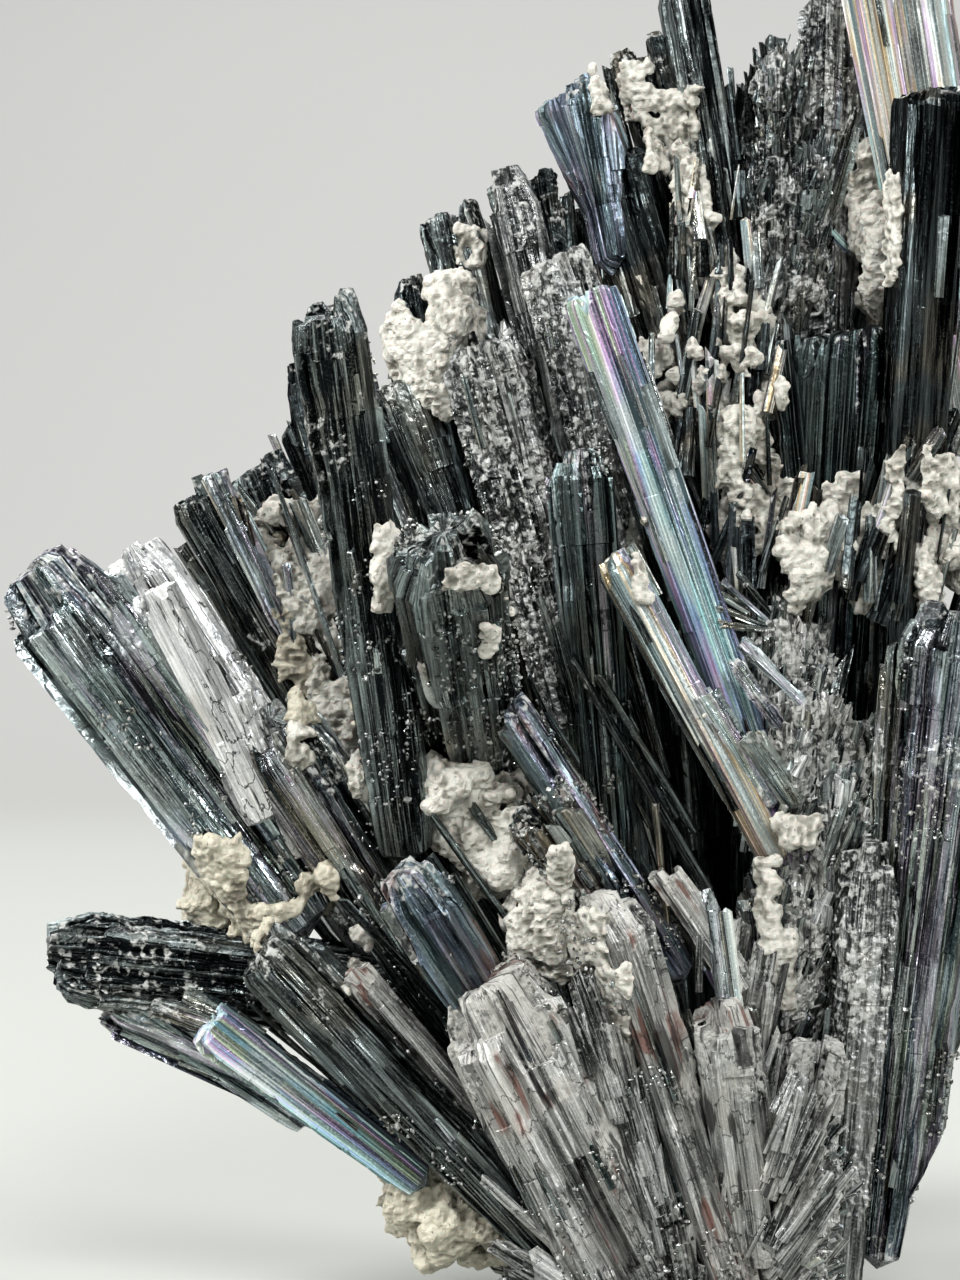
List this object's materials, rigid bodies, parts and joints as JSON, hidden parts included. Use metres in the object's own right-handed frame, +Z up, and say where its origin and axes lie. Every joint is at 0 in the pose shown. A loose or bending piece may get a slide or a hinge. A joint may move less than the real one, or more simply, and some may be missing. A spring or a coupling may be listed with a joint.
{
  "type": "stibnite crystal spray",
  "caption": "Fan-shaped spray of striated metallic stibnite prisms with white calcite grown between them, cut flat underneath so that it stands upright.",
  "frame": {"origin": "on the flat cut underneath, at the middle of the granular root where all the crystals meet", "axes": "+Z up out of the flat cut, along the spray's longest extent; -Y is the display side; +X to the right of the display side"},
  "size_m": [0.1156, 0.0746, 0.1399],
  "materials": {
    "stibnite_dark": "dark steel-grey metallic lustre, striated along each prism",
    "stibnite_bright": "bright silver-grey metallic lustre, striated along each prism",
    "stibnite_iridescent": "metallic lustre with a blue, teal, violet and gold tarnish film",
    "stibnite_frosted": "frosted grey, faintly brown-stained, low lustre",
    "stibnite_granular": "granular grey aggregate with small metallic glints",
    "calcite": "white to cream, dull to slightly waxy, ragged"
  },
  "bodies": {
    "root": {"front_tall_crystal": "stibnite_dark", "front_round_crystal": "stibnite_granular", "blue_grey_low_crystal": "stibnite_bright", "frosted_low_crystal": "stibnite_frosted", "long_low_crystal": "stibnite_dark", "middle_blue_crystal": "stibnite_bright", "middle_bronze_crystal": "stibnite_frosted", "trunk_crystal": "stibnite_frosted", "trunk_side_crystal": "stibnite_frosted", "right_big_crystal": "stibnite_bright", "right_lower_dark_crystal": "stibnite_dark", "left_big_crystal": "stibnite_bright", "left_low_dark_crystal": "stibnite_dark", "left_low_iridescent_crystal": "stibnite_iridescent", "left_low_pale_crystal": "stibnite_bright", "left_second_crystal": "stibnite_bright", "left_inner_crystal": "stibnite_bright", "left_back_blade": "stibnite_dark", "left_ragged_crystal": "stibnite_dark", "left_spiky_crystal": "stibnite_dark", "centre_iridescent_crystal": "stibnite_iridescent", "centre_slender_crystal": "stibnite_iridescent", "centre_teal_crystal": "stibnite_dark", "flat_top_crystal": "stibnite_granular", "granular_left_crystal": "stibnite_granular", "tall_round_crystal": "stibnite_dark", "upper_left_round_crystal": "stibnite_dark", "upper_left_dark_crystal": "stibnite_dark", "back_dark_crystal": "stibnite_dark", "top_blue_crystal": "stibnite_iridescent", "top_shoulder_crystal": "stibnite_dark", "top_dark_crystal": "stibnite_dark", "right_black_crystal": "stibnite_dark", "right_teal_crystal": "stibnite_iridescent", "top_bright_crystal": "stibnite_bright", "top_granular_crystal": "stibnite_granular", "right_edge_low_crystal": "stibnite_dark", "right_edge_middle_crystal": "stibnite_bright", "back_left_bundle": "stibnite_dark", "back_upper_left_bundle": "stibnite_dark", "back_left_high_bundle": "stibnite_dark", "back_middle_bundle": "stibnite_bright", "back_top_bundle": "stibnite_dark", "back_right_bundle": "stibnite_dark", "back_far_right_bundle": "stibnite_bright", "rear_left_bundle": "stibnite_dark", "rear_right_bundle": "stibnite_bright", "root_mass": "stibnite_granular", "granular_mass": "stibnite_granular", "top_granular_mass": "stibnite_granular", "calcite_underside": "calcite", "calcite_left_gap": "calcite", "calcite_left_drape": "calcite", "calcite_upper_left": "calcite", "calcite_top_drape": "calcite", "calcite_middle_strip": "calcite", "calcite_right_notch": "calcite", "calcite_right_face": "calcite", "calcite_cavity": "calcite", "calcite_boot": "calcite"}
  },
  "joints": []
}
